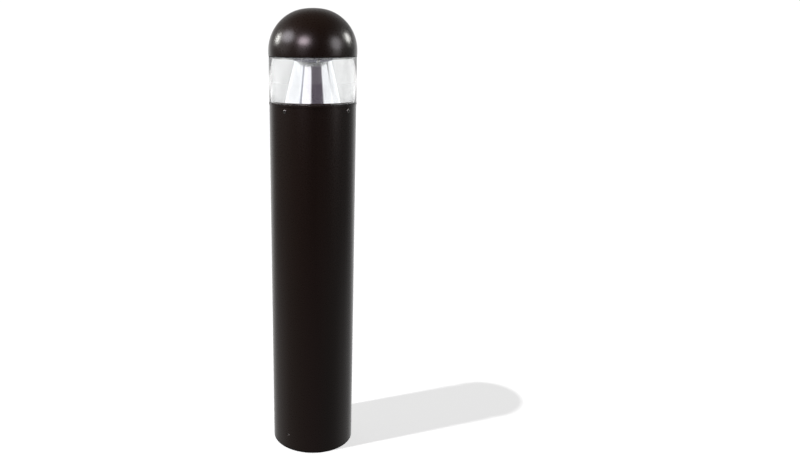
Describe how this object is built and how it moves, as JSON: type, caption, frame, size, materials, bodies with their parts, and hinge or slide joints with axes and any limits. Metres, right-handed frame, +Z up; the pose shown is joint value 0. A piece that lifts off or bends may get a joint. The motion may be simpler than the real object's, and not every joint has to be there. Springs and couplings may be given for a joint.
{
  "type": "lighted safety bollard",
  "caption": "Round dome-top lighted bollard: steel column on an anchor base, clear lens with a cone reflector, LED ring and domed cap.",
  "frame": {"origin": "centre of the footprint, on the ground under the base gasket", "axes": "+Z up along the column's axis; the collar screws and anchor bolts lie at 45 degrees to X and Y"},
  "size_m": [0.2036, 0.2036, 1.0668],
  "materials": {
    "bronze_paint": "satin dark-bronze powder coat, fine texture",
    "rubber": "black EPDM rubber, matte",
    "cast_aluminium": "as-cast aluminium, matte",
    "polished_aluminium": "spun aluminium, specular, fine lines along the cone",
    "satin_aluminium": "darker reflector sheet, mottled satin",
    "clear_acrylic": "clear moulded acrylic, gloss",
    "stainless": "stainless steel, bright",
    "dull_stainless": "weathered dark stainless steel",
    "tinned_copper": "tinned copper, satin",
    "galvanised_steel": "galvanised sheet steel",
    "ground_green": "green-coated screw",
    "driver_case": "extruded case, satin",
    "dark_plastic": "moulded plastic, matte",
    "white_plastic": "moulded plastic, matte",
    "dark_board": "black solder mask on aluminium board",
    "led_phosphor": "yellow phosphor dome, gloss",
    "black_wire": "black insulated lead",
    "red_wire": "red insulated lead",
    "blue_wire": "blue insulated lead",
    "green_wire": "green insulated lead"
  },
  "bodies": {
    "base": {"base_gasket": "rubber", "anchor_base": "cast_aluminium", "base_ground_screw": "ground_green", "base_ground_washer": "stainless"},
    "head": {"column": "bronze_paint", "base_set_screws": "stainless", "head_collar": "bronze_paint", "collar_screws": "dull_stainless", "lens_bottom_gasket": "rubber", "lens": "clear_acrylic", "lens_top_gasket": "rubber", "cone_reflector": "polished_aluminium", "reflector_screws": "stainless", "upper_reflector": "satin_aluminium", "bond_terminals": "tinned_copper", "bond_screws": "stainless", "bond_lead": "black_wire", "led_board": "dark_board", "led_chips": "led_phosphor", "led_optic_cover": "clear_acrylic", "led_ring_screws": "stainless", "head_plate": "cast_aluminium", "heat_sink": "cast_aluminium", "heat_sink_screws": "stainless", "dome_cap": "bronze_paint", "dome_screws": "stainless", "tie_rods": "stainless", "tie_rod_nuts": "stainless", "tie_rod_washers": "stainless", "head_plate_grommet": "rubber", "deck_grommet": "rubber", "led_cable": "black_wire", "driver_bracket": "galvanised_steel", "bracket_screws": "stainless", "led_driver": "driver_case", "driver_end_caps": "dark_plastic", "driver_screws": "stainless", "surge_protector": "dark_plastic", "surge_screws": "stainless", "terminal_block": "white_plastic", "terminal_screws": "stainless", "block_screws": "stainless", "driver_leads": "red_wire", "surge_leads": "blue_wire", "ground_screw": "ground_green", "ground_terminal": "tinned_copper", "ground_lead": "green_wire"}
  },
  "joints": [
    {"name": "column_swivel", "type": "hinge", "parent": "base", "child": "head", "pos_m": [0, 0, 0.0386], "axis": [0, 0, 1], "range_deg": [-180, 180]}
  ]
}
